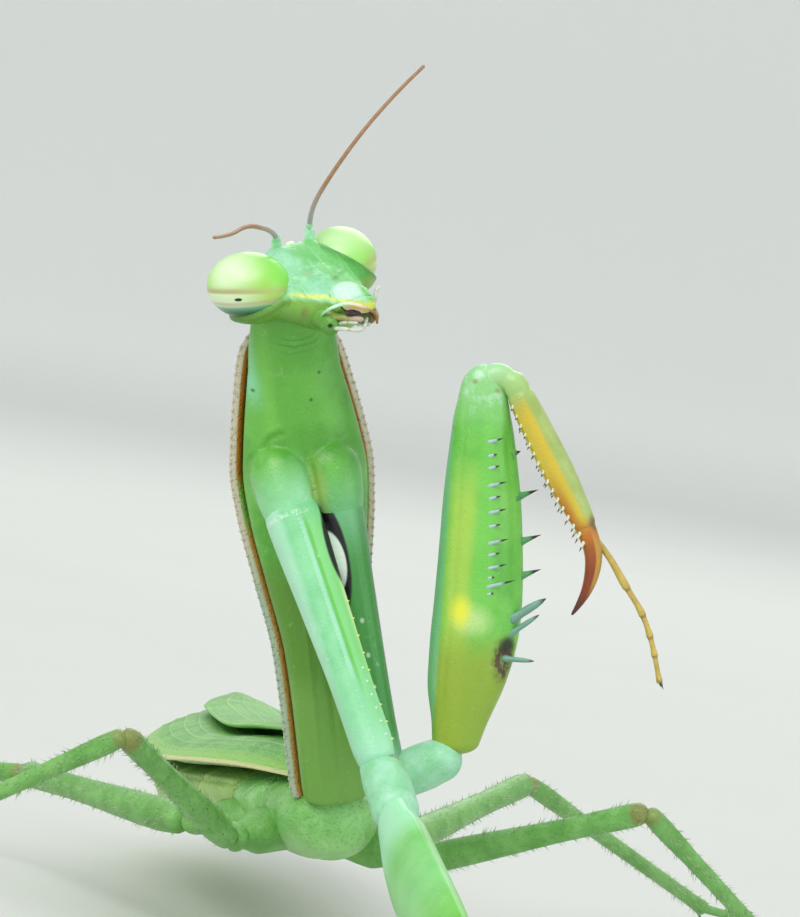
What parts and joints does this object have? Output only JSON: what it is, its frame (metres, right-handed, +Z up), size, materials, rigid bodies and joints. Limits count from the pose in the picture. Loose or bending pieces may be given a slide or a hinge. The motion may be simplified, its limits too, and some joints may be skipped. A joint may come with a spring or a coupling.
{
  "type": "praying mantis",
  "caption": "Green praying mantis in a low stance with its prothorax raised, one spined grasping leg lifted, the other reaching forward to the floor.",
  "frame": {"origin": "on the floor, under the centre of the bounding box of the whole animal", "axes": "+Z up from the floor; +Y towards the tip of the abdomen, so the animal faces -Y; +X towards its own left side"},
  "size_m": [0.058, 0.0812, 0.038],
  "materials": {
    "skin": "satin green skin",
    "shield": "satin green shell with a brown-edged rim",
    "eye": "glossy lime green",
    "mouthpart": "satin pale green",
    "feeler": "matt tan brown",
    "foreleg": "satin green",
    "foreshank": "satin yellow-green to red-brown",
    "leg": "satin olive green",
    "wing": "satin leaf green",
    "belly": "satin yellow-green"
  },
  "bodies": {
    "root": {"head": "skin", "eye_left": "eye", "eye_right": "eye", "clypeus_labrum": "mouthpart", "mandible_left": "mouthpart", "mandible_right": "mouthpart", "maxillae_labium": "mouthpart", "maxillary_palp_left": "mouthpart", "labial_palp_left": "mouthpart", "maxillary_palp_right": "mouthpart", "labial_palp_right": "mouthpart", "antenna_base_left": "mouthpart", "antenna_base_right": "mouthpart", "antenna_left": "feeler", "antenna_right": "feeler", "pronotum": "shield", "prosternum": "skin", "neck": "skin", "fore_coxa_left": "foreleg", "fore_trochanter_left": "foreleg", "fore_femur_left": "foreleg", "fore_tibia_left": "foreshank", "fore_tarsus_left": "foreshank", "fore_coxa_right": "foreleg", "fore_trochanter_right": "foreleg", "fore_femur_right": "foreleg", "fore_tibia_right": "foreshank", "fore_tarsus_right": "foreshank", "mesothorax": "skin", "metathorax": "skin", "abdomen_1": "belly", "abdomen_2": "belly", "abdomen_3": "belly", "abdomen_4": "belly", "abdomen_5": "belly", "abdomen_6": "belly", "cercus_left": "belly", "cercus_right": "belly", "subgenital_plate": "belly", "hindwing_left": "wing", "hindwing_right": "wing", "tegmen_right": "wing", "tegmen_left": "wing", "mid_coxa_left": "leg", "mid_femur_left": "leg", "mid_tibia_left": "leg", "mid_tarsus_left": "leg", "mid_coxa_right": "leg", "mid_femur_right": "leg", "mid_tibia_right": "leg", "mid_tarsus_right": "leg", "hind_coxa_left": "leg", "hind_femur_left": "leg", "hind_tibia_left": "leg", "hind_tarsus_left": "leg", "hind_coxa_right": "leg", "hind_femur_right": "leg", "hind_tibia_right": "leg", "hind_tarsus_right": "leg"}
  },
  "joints": []
}
